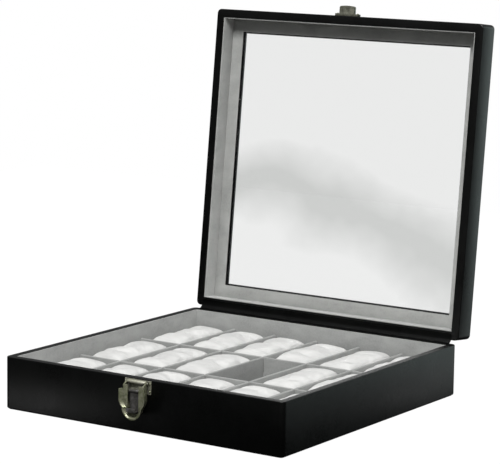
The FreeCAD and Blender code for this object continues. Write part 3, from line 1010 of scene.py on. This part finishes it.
@dataclass
class Cushions:
    """The velvet pads, each filled by simulation and set in its compartment.

    Slack is what the pad is cut short of its room along each axis. Tight is how drawn in its
    cloth is: everywhere, more at the seams, and more or less with the creases. Bulge is how far
    its sides may swell past its room. Crown and end_crown are how far its top falls towards its
    sides and its ends, each with the power of that fall.
    """

    finishes: Finishes
    variants: int = 4
    voxel: float = 2.2 * MM
    slack: Triple = (0.7 * MM, 1.0 * MM, 2.6 * MM)
    underside: float = 0.4 * MM
    end_round: float = 10.0 * MM
    side_round: float = 5.0 * MM
    tight: Triple = (0.3, 0.7, 0.4)
    seam_pull: float = 1.5 * MM
    crease_scale: float = 45.0
    variant_shift: float = 7.3
    shrink: Span = (-0.06, 0.03)
    tension: float = 20.0
    bending: float = 0.6
    quality: int = 6
    pressure: float = 4.0
    frames: int = 20
    cap: float = 2.2 * MM
    wall_gap: float = 0.35 * MM
    top: float = -0.8 * MM
    bulge: Span = (1.6 * MM, 3.0 * MM)
    crown: Span = (4.6 * MM, 3.6)
    end_crown: Span = (4.2 * MM, 3.4)
    seam_in: float = 2.6 * MM
    seam_depth: float = 0.45 * MM
    seam_width: float = 0.8 * MM

    def build(self) -> None:
        """Fill a few pads and copy them into the compartments."""
        nodes = sorted(n for n in frame["nodes"] if n.startswith("cushion_"))
        low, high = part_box(nodes[0])
        size = high - low
        pads = [self._pad(number, size) for number in range(self.variants)]
        for index, node in enumerate(nodes):
            source = pads[(index * 3 + index // 5) % self.variants]
            self._place(source, node, index)
        for pad in pads:
            bpy.data.objects.remove(pad)

    def _place(self, source: bpy.types.Object, node: str, index: int) -> None:
        """Copy a pad into its compartment, turned end for end by turns.

        Args:
            source: The pad.
            node: The cushion node whose place it takes.
            index: Its number, which says which way round it lies.
        """
        low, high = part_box(node)
        piece = Bench.copy(source, node.replace("cushion", "pad"))
        turn = Matrix.Rotation(math.pi * (index % 2), 4, "Z")
        centre = Vector(((low.x + high.x) / 2, (low.y + high.y) / 2, low.z))
        piece.data.transform(Matrix.Translation(centre) @ turn)
        Bench.smooth(piece, 180.0)
        self.finishes.settle(piece, node, Slot.VELVET, node)

    def _pad(self, number: int, size: Vector) -> bpy.types.Object:
        """Return one filled pad, its underside at Z 0 and its centre over the origin.

        Args:
            number: Which of the variants it is.
            size: The room the pad has.

        Returns:
            The pad.
        """
        half = Vector((size.x / 2 - self.slack[0], size.y / 2 - self.slack[1], 0))
        top = size.z - self.slack[2]
        pad = Bench.block(f"pad_{number}", (-half.x, -half.y, self.underside), (half.x, half.y, top))
        Bench.bevel(pad, lambda a, b: abs(a.x - b.x) > MM, self.end_round, 6)
        Bench.bevel(pad, lambda a, b: abs(abs(a.x) - half.x) < HAIR and abs(a.x - b.x) < HAIR,
                    self.side_round, 3)
        Bench.modify(pad, "REMESH", mode="VOXEL", voxel_size=self.voxel)
        rest = [v.co.copy() for v in pad.data.vertices]
        self._remember(pad, rest)
        self._fill(pad, number, rest, half)
        self._fit(pad, size)
        Bench.modify(pad, "SMOOTH", factor=0.5, iterations=4)
        Bench.modify(pad, "SUBSURF", levels=1, render_levels=1)
        self._seam(pad, half)
        return pad

    @staticmethod
    def _remember(pad: bpy.types.Object, rest: list[Vector]) -> None:
        """Keep where each point was cut, so that the seams can follow it."""
        kept = pad.data.attributes.new("cut_place", "FLOAT_VECTOR", "POINT")
        kept.data.foreach_set("vector", [c for point in rest for c in point])

    def _fill(self, pad: bpy.types.Object, number: int, rest: list[Vector], half: Vector) -> None:
        """Swell the pad by cloth simulation, its seams drawn tighter than its panels.

        Args:
            pad: The pad.
            number: Which variant it is, which sets where it creases.
            rest: Its points before filling.
            half: Half its width and depth.
        """
        Bench.pick(pad)
        tight = pad.vertex_groups.new(name="tight")
        plain, seam, crease = self.tight
        for index, point in enumerate(rest):
            at_seam = math.exp(-((half.x - abs(point.x) - self.seam_in) / self.seam_pull) ** 2)
            drift = noise.noise(point * self.crease_scale + Vector((number * self.variant_shift, 0, 0)))
            pull = plain + seam * at_seam + crease * drift
            tight.add([index], min(1.0, max(0.0, pull)), "REPLACE")
        cloth = pad.modifiers.new("Fill", "CLOTH")
        setting = cloth.settings
        setting.quality = self.quality
        setting.use_pressure = True
        setting.uniform_pressure_force = self.pressure
        setting.effector_weights.gravity = 0.0
        setting.vertex_group_shrink = "tight"
        setting.shrink_min, setting.shrink_max = self.shrink
        setting.tension_stiffness = setting.compression_stiffness = self.tension
        setting.bending_stiffness = self.bending
        for step in range(1, self.frames + 1):
            bpy.context.scene.frame_set(step)
        bpy.ops.object.modifier_apply(modifier=cloth.name)
        pad.vertex_groups.clear()
        for vertex, start in zip(pad.data.vertices, rest):
            moved = vertex.co - start
            if moved.length > self.cap:
                vertex.co = start + moved * (self.cap / moved.length)
        bpy.context.scene.frame_set(1)
        Bench.clear()

    def _fit(self, pad: bpy.types.Object, size: Vector) -> None:
        """Press the pad against its compartment's walls and floor, and crown its top.

        Args:
            pad: The pad.
            size: The room the pad has.
        """
        reach = [size[axis] / 2 + self.bulge[axis] - self.wall_gap for axis in (0, 1)]
        heights = [v.co.z for v in pad.data.vertices]
        lowest = min(heights)
        lift = (size.z + self.top) / (max(heights) - lowest)
        for vertex in pad.data.vertices:
            place = vertex.co
            for axis in (0, 1):
                place[axis] = max(-reach[axis], min(reach[axis], place[axis]))
            place.z = (place.z - lowest) * lift
            fall = sum(depth * abs(place[axis] / reach[axis]) ** power
                       for axis, (depth, power) in enumerate((self.crown, self.end_crown)))
            place.z -= fall * (place.z / size.z) ** 2

    def _seam(self, pad: bpy.types.Object, half: Vector) -> None:
        """Draw in the two seams that join the sleeve to the side panels.

        Args:
            pad: The pad.
            half: Half its width and depth.
        """
        count = len(pad.data.vertices)
        flat = [0.0] * (3 * count)
        pad.data.attributes["cut_place"].data.foreach_get("vector", flat)
        normals = [v.normal.copy() for v in pad.data.vertices]
        for index, vertex in enumerate(pad.data.vertices):
            away = half.x - abs(flat[3 * index]) - self.seam_in
            depth = self.seam_depth * math.exp(-(away / self.seam_width) ** 2)
            if vertex.co.z > MM:
                vertex.co -= normals[index] * depth
        pad.data.attributes.remove(pad.data.attributes["cut_place"])


# ---------------------------------------------------------------- the lid


@dataclass
class Lid:
    """The glazed lid, modelled closed and turned open."""

    finishes: Finishes
    turn: LidTurn
    sheet: float = 0.8 * MM
    corner: float = 5.0 * MM
    board: float = 8.8 * MM
    window: float = 24.8 * MM
    panel: float = 2.0 * MM
    top_round: float = 2.2 * MM
    rim_round: float = 1.4 * MM
    view_round: float = 0.6 * MM
    bare: float = 2.0 * MM
    steep: float = 0.6

    def build(self) -> None:
        """Build the leather, glass and linings, and dress the boards."""
        self._cover()
        # Painted light: the lid's lining takes a lighter copy of the tray's suede, standing in for light
        # bounced onto it.
        lid_suede_painted_light = Suede("lid_suede_painted_light", dark=(0.27, 0.275, 0.265), light=(0.43, 0.435, 0.42)).material()
        for node, name, slot, width in (
                ("lid_wall_lining", "lid_wall_suede", Slot.SUEDE, 0.35 * MM),
                ("lid_inner_frame", "lid_ledge_suede", Slot.SUEDE, 0.4 * MM),
                ("lid_glass", "window_pane", Slot.GLASS, 0.25 * MM)):
            piece = self.finishes.soften(node, name, Body.LID, slot, width)
            if slot is Slot.SUEDE:
                piece.data.materials[0] = lid_suede_painted_light
            else:
                Bench.smooth(piece, 5.0)
        for wall in ("wall_front", "wall_back", "wall_left", "wall_right"):
            self.finishes.dress_node("lid_" + wall, Slot.BOARD)
        frame_board = self.finishes.soften("lid_window_frame", "window_frame_board", Body.LID,
                                           Slot.BOARD, 0.2 * MM)
        frame_board.data.materials[0] = Board("black_stained_board", pulp=(0.004, 0.004, 0.004),
                                              strand=(0.002, 0.002, 0.002)).material()
        self._edge_ledge(black=frame_board.data.materials[0])

    def _edge_ledge(self, black: bpy.types.Material) -> None:
        """Leave the ledge's edge round the window bare of suede and black.

        Args:
            black: The finish of the bare edge.
        """
        ledge = bpy.data.objects["lid_ledge_suede"]
        ledge.data.materials.append(black)
        turn = self.turn.closing()
        low, high = self.turn.box("lid_leather")
        reach = Vector((high.x - low.x, high.y - low.y, 0)) / 2 - Vector((self.window, self.window, 0))
        middle = (low + high) / 2
        for face in ledge.data.polygons:
            spot = turn @ face.center - middle
            facing = turn.to_3x3() @ face.normal
            near = max(abs(spot.x) - reach.x, abs(spot.y) - reach.y) < self.bare
            if near and abs(facing.z) < self.steep:
                face.material_index = 1

    def _cover(self) -> None:
        """Build the leather over the lid's walls, top, rim and window."""
        low, high = self.turn.box("lid_leather")
        glass_top = high.z - self.sheet - self.panel
        inner = (low.z + self.sheet, high.z - self.sheet)
        radius = self.corner - self.sheet
        cover = rounded_block("lid_leather_cover", (low, high), self.corner, 10)
        walls = rounded_block("walls", inset(low, high, self.sheet, (inner[0], glass_top)), radius, 10)
        panel = rounded_block("panel", inset(low, high, self.sheet, (glass_top - HAIR, inner[1])),
                              radius, 10)
        edge = self.window - self.sheet
        Bench.cut(panel, Bench.block("hole", *inset(low, high, edge, (
            glass_top - OVERSHOOT, inner[1] + OVERSHOOT))))
        mouth = Bench.block("mouth", *inset(low, high, self.board, (low.z - OVERSHOOT, inner[0] + HAIR)))
        view = Bench.block("view", *inset(low, high, self.window, (
            glass_top - OVERSHOOT, high.z + OVERSHOOT)))
        Bench.cut(cover, walls, panel, mouth, view)
        cut_pockets(cover, ("hinge_left_lid_leaf", "hinge_right_lid_leaf"),
                    (low.z - OVERSHOOT, inner[0] + HAIR), self.turn.box)
        round_rims(cover, low, high, self.corner,
                   ((high.z, self.top_round, 5), (low.z, self.rim_round, 4)))
        Bench.bevel(cover, lambda a, b: self._on_view(a, low, high) and self._on_view(b, low, high),
                    self.view_round, 3)
        Bench.smooth(cover, 40.0)
        self.turn.open(cover)
        self.finishes.settle(cover, Body.LID, Slot.LEATHER, "lid_leather")

    def _on_view(self, point: Vector, low: Vector, high: Vector) -> bool:
        """Say whether a point is on the window's upper edge.

        Args:
            point: The point.
            low: The lid's lowest corner.
            high: Its highest corner.

        Returns:
            Whether it is.
        """
        from_side = min(point.x - low.x, high.x - point.x)
        from_end = min(point.y - low.y, high.y - point.y)
        return abs(point.z - high.z) < HAIR and abs(min(from_side, from_end) - self.window) < HAIR


# ---------------------------------------------------------------- hinges


@dataclass
class Hinges:
    """The two steel hinges and the leather strip that hides them."""

    finishes: Finishes
    turn: LidTurn
    edge: float = 0.15 * MM
    corner: float = 2.0 * MM
    steps: int = 8
    sag: float = 0.25

    def build(self) -> None:
        """Build the leaves, pins, screws and strip."""
        for side in ("left", "right"):
            for half, body in (("base", Body.BASE), ("lid", Body.LID)):
                self.finishes.soften(f"hinge_{side}_{half}_leaf", f"{side}_{half}_leaf", body,
                                     Slot.STEEL, self.edge)
        for node, name, body in (("hinge_pins", "leaf_pins", Body.BASE),
                                 ("hinge_base_screws", "base_leaf_screws", Body.BASE),
                                 ("hinge_lid_screws", "lid_leaf_screws", Body.LID)):
            self.finishes.soften(node, name, body, Slot.STEEL, self.edge)
        self._strip()

    def _strip(self) -> None:
        """Build one continuous strip from the base's rim to the lid's, bending at the joint."""
        low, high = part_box("hinge_strip_base_half")
        lid_low, lid_high = self.turn.box("hinge_strip_lid_half")
        opening = self.turn.closing().inverted()
        level = (low.z + high.z) / 2
        lid_level = (lid_low.z + lid_high.z) / 2
        start = Vector((0, high.y, level))
        end = opening @ Vector((0, lid_high.y, lid_level))
        far = opening @ Vector((0, lid_low.y, lid_level))
        hinge = Vector((0, *self.turn.hinge()["pos_m"][1:]))
        middle = (start + end) / 2
        middle += (hinge - middle) * self.sag
        path = [self._curve(start, middle, end, n / self.steps) for n in range(self.steps + 1)]
        path.append(far)
        Bench.clear()
        bpy.ops.mesh.primitive_plane_add(size=1, location=(0, (low.y + high.y) / 2, level),
                                         scale=(1, 1, 1))
        strip = bpy.context.object
        strip.name = strip.data.name = "hinge_strip"
        strip.scale = (high.x - low.x, high.y - low.y, 1)
        bpy.ops.object.transform_apply(location=True, rotation=True, scale=True)
        Bench.select(strip, lambda a, b: min(a.y, b.y) > high.y - HAIR)
        for here, there in zip(path, path[1:]):
            bpy.ops.mesh.extrude_region_move(TRANSFORM_OT_translate={"value": there - here})
        Bench.clear()
        Bench.modify(strip, "SOLIDIFY", thickness=high.z - low.z, offset=0.0, use_even_offset=True)
        Bench.bevel(strip, lambda a, b: self._corner(a, b, low, far, high.z - low.z),
                    self.corner, 5)
        Bench.smooth(strip, 50.0)
        strip.data.materials.clear()
        strip.data.materials.append(Leather("creased_leatherette", ior=1.25).material())
        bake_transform(strip, Body.BASE.value, Body.LID.value, start=tuple(start), end=tuple(end))
        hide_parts("hinge_strip_base_half", "hinge_strip_lid_half")
        LOG.info("hinge_strip: bends from base to lid")

    @staticmethod
    def _curve(start: Vector, middle: Vector, end: Vector, share: float) -> Vector:
        """Return a point of the smooth curve through three points' control."""
        first = start.lerp(middle, share)
        return first.lerp(middle.lerp(end, share), share)

    @staticmethod
    def _corner(a: Vector, b: Vector, low: Vector, far: Vector, thick: float) -> bool:
        """Say whether the edge between two points is a short one at a corner of the strip.

        Args:
            a: One point.
            b: The other.
            low: The lowest corner of the strip's half on the base.
            far: The strip's end on the lid.
            thick: The strip's thickness.

        Returns:
            Whether it is.
        """
        short = (a - b).length < 1.5 * thick and abs(a.x - b.x) < HAIR
        front = max(abs(a.y - low.y), abs(b.y - low.y)) < HAIR
        top = max(abs(a.z - far.z), abs(b.z - far.z)) < thick
        return short and (front or top)


# ---------------------------------------------------------------- clasp and catch


@dataclass
class Clasp:
    """The pressed clasp on the base and the catch on the lid."""

    finishes: Finishes
    turn: LidTurn
    edge: float = 0.3 * MM

    def build(self) -> None:
        """Build the plate, the lever, the tongue, their pins and nails, and the catch."""
        # Painted highlight: the backplate and the lever pin get a much brighter copy of the nickel, standing
        # in for the light their top edges catch from above; the tongue and the catch get darker copies.
        highlight_nickel = Nickel("nickel_with_painted_highlight", bright=(0.80, 0.79, 0.68),
                      olive=(0.50, 0.50, 0.38)).material()
        dull = Nickel("tarnished_nickel_plate", bright=(0.20, 0.19, 0.19),
                      olive=(0.09, 0.09, 0.08)).material()
        brown = Nickel("dulled_nickel_plate", bright=(0.30, 0.30, 0.24),
                       olive=(0.12, 0.12, 0.09)).material()
        highlight_and_tarnish = {"clasp_plate": highlight_nickel, "clasp_lever_pin": highlight_nickel, "clasp_tongue": dull,
                "catch_plate": brown}
        for node, name, body in (("clasp_plate", "clasp_backplate", Body.BASE),
                                 ("clasp_nails", "clasp_plate_nails", Body.BASE),
                                 ("clasp_lever_pin", "lever_pin", Body.BASE),
                                 ("clasp_lever", "clasp_shield", Body.LEVER),
                                 ("clasp_tongue_pin", "tongue_pin", Body.LEVER),
                                 ("clasp_tongue", "clasp_hook", Body.TONGUE),
                                 ("catch_plate", "lid_catch", Body.LID),
                                 ("catch_nails", "lid_catch_nails", Body.LID)):
            piece = self.finishes.soften(node, name, body, Slot.NICKEL, self.edge)
            if node in highlight_and_tarnish:
                piece.data.materials[0] = highlight_and_tarnish[node]


# ---------------------------------------------------------------- the studio


def aimed(azimuth: float, elevation: float) -> Vector:
    """Return the direction at an azimuth, from -Y towards +X, and an elevation, in degrees."""
    turn, tilt = math.radians(azimuth), math.radians(elevation)
    return Vector((math.sin(turn) * math.cos(tilt), -math.cos(turn) * math.cos(tilt), math.sin(tilt)))


@dataclass(frozen=True)
class Studio:
    """The floor, the lights and the camera.

    Each of room is a height, from 0 at the bottom to 1 at the top, and its brightness. Each of
    cards is an azimuth and an elevation, the angles from there at which it starts to fade and
    ends, and its colour. Each of gleams is a place, a point that it faces, its size and its glow.
    Each of boxes is a name, an azimuth and an elevation, its distance from the target, its size
    and its power.
    """

    target: Triple = (0.0001, 0.0242, 0.1716)
    azimuth: float = 33.76
    elevation: float = 9.10
    roll: float = 0.81
    distance: float = 2.3858
    lens: float = 169.69
    floor_size: float = 2.6
    room: tuple[Span, ...] = ((0.0, 0.01), (0.45, 0.02), (0.60, 0.12), (1.0, 0.40))
    cards: tuple[tuple, ...] = ((163.0, 3.0, 2.0, 24.0, (0.92, 1.08, 1.06)),)
    gleams: tuple[tuple, ...] = (((-0.40, -0.44, -0.13), (-0.16, -0.17, 0.02), (0.14, 0.10), 0.9),
                                 ((0.38, 0.52, -0.10), (0.16, 0.06, 0.02), (0.12, 0.12), 0.45))
    bounce: float = 0.16
    boxes: tuple[tuple, ...] = (("key", 27.0, 52.0, 2.4, (1.0, 0.8), 62.0),
                                ("top", -20.0, 84.0, 2.2, (1.4, 1.0), 14.0))

    def build(self) -> None:
        """Set up everything that isn't part of the object."""
        bpy.context.scene.view_settings.view_transform = "Standard"
        self._papers()
        self._world()
        self._lights()
        self._camera()

    def _papers(self) -> None:
        """Lay a white floor for the eye and a dim one for bounced light, and stand the gleam cards."""
        size = (self.floor_size, self.floor_size)
        self._paper(Paper(), (0, 0, 0), (0, 0, 1), size, "glossy", "diffuse", "shadow")
        self._paper(Paper("bounce_paper", glow=self.bounce), (0, 0, -MM), (0, 0, 1), size,
                    "camera", "glossy", "shadow", "transmission")
        for number, (place, toward, extent, glow) in enumerate(self.gleams):
            self._paper(Paper(f"gleam_paper_{number}", glow=glow), place, toward, extent,
                        "camera", "diffuse", "shadow", "transmission")

    @staticmethod
    def _paper(paper: Paper, place: Triple, toward: Triple, size: Span, *hidden: str) -> None:
        """Set up a sheet of glowing paper.

        Args:
            paper: Its finish, after which it is named.
            place: Its middle.
            toward: A point that it faces.
            size: Its width and height.
            *hidden: The kinds of ray that don't meet it.
        """
        Bench.clear()
        bpy.ops.mesh.primitive_plane_add(size=1)
        sheet = bpy.context.object
        sheet.name = paper.name
        sheet.scale = (*size, 1.0)
        sheet.location = place
        sheet.rotation_euler = (Vector(toward) - Vector(place)).to_track_quat("Z", "Y").to_euler()
        bpy.ops.object.transform_apply(location=True, rotation=True, scale=True)
        sheet.data.materials.append(paper.material())
        for kind in hidden:
            setattr(sheet, f"visible_{kind}", False)

    def _world(self) -> None:
        """Surround the box with white for the eye, and with a dim room for everything else."""
        world = bpy.data.worlds.new("studio")
        bpy.context.scene.world = world
        world.use_nodes = True
        wiring = Wiring(world.node_tree)
        direction = wiring.node("ShaderNodeTexCoord").outputs["Generated"]
        parts = wiring.node("ShaderNodeSeparateXYZ")
        wiring.link(direction, parts.inputs[0])
        height = wiring.between(parts.outputs["Z"], (-1.0, 1.0), (0.0, 1.0))
        colour = wiring.ramp(height, *((at, (level, level, level * 1.01)) for at, level in self.room))
        for azimuth, elevation, near, far, level in self.cards:
            toward = wiring.node("ShaderNodeVectorMath", operation="DOT_PRODUCT")
            toward.inputs[1].default_value = aimed(azimuth, elevation)
            wiring.link(direction, toward.inputs[0])
            edge = (math.cos(math.radians(far)), math.cos(math.radians(near)))
            glow = wiring.between(toward.outputs["Value"], edge, (0.0, 1.0), "SMOOTHSTEP")
            colour = wiring.blend(glow, colour, level)
        path = wiring.node("ShaderNodeLightPath")
        seen = wiring.math("MAXIMUM", path.outputs["Is Camera Ray"],
                           path.outputs["Is Transmission Ray"])
        colour = wiring.blend(seen, colour, (1.0, 1.0, 1.0))
        wiring.link(colour, wiring.tree.nodes["Background"].inputs["Color"])

    def _lights(self) -> None:
        """Hang the soft boxes."""
        for name, azimuth, elevation, away, size, power in self.boxes:
            data = bpy.data.lights.new(name, "AREA")
            data.shape = "RECTANGLE"
            data.size, data.size_y = size
            data.energy = power
            lamp = bpy.data.objects.new(name, data)
            bpy.context.scene.collection.objects.link(lamp)
            toward = aimed(azimuth, elevation)
            lamp.location = Vector(self.target) + toward * away
            lamp.rotation_euler = (-toward).to_track_quat("-Z", "Y").to_euler()

    def _camera(self) -> None:
        """Place the camera round the target."""
        data = bpy.data.cameras.new("eye")
        data.lens = self.lens
        data.clip_start, data.clip_end = 0.1, 50.0
        camera = bpy.data.objects.new("eye", data)
        bpy.context.scene.collection.objects.link(camera)
        back = aimed(self.azimuth, self.elevation)
        camera.location = Vector(self.target) + back * self.distance
        camera.rotation_mode = "QUATERNION"
        level = (-back).to_track_quat("-Z", "Y")
        camera.rotation_quaternion = level @ Quaternion((0, 0, 1), math.radians(self.roll))
        bpy.context.scene.camera = camera


def main() -> None:
    """Build the box's sub-assemblies in order, then the studio."""
    logging.basicConfig(level=logging.INFO, format="%(message)s")
    finishes = Finishes()
    turn = LidTurn()
    for assembly in (Base(finishes), DividerGrid(finishes), Cushions(finishes),
                     Lid(finishes, turn), Hinges(finishes, turn), Clasp(finishes, turn), Studio()):
        LOG.info("building %s", type(assembly).__name__)
        assembly.build()


if __name__ == "__main__":
    main()
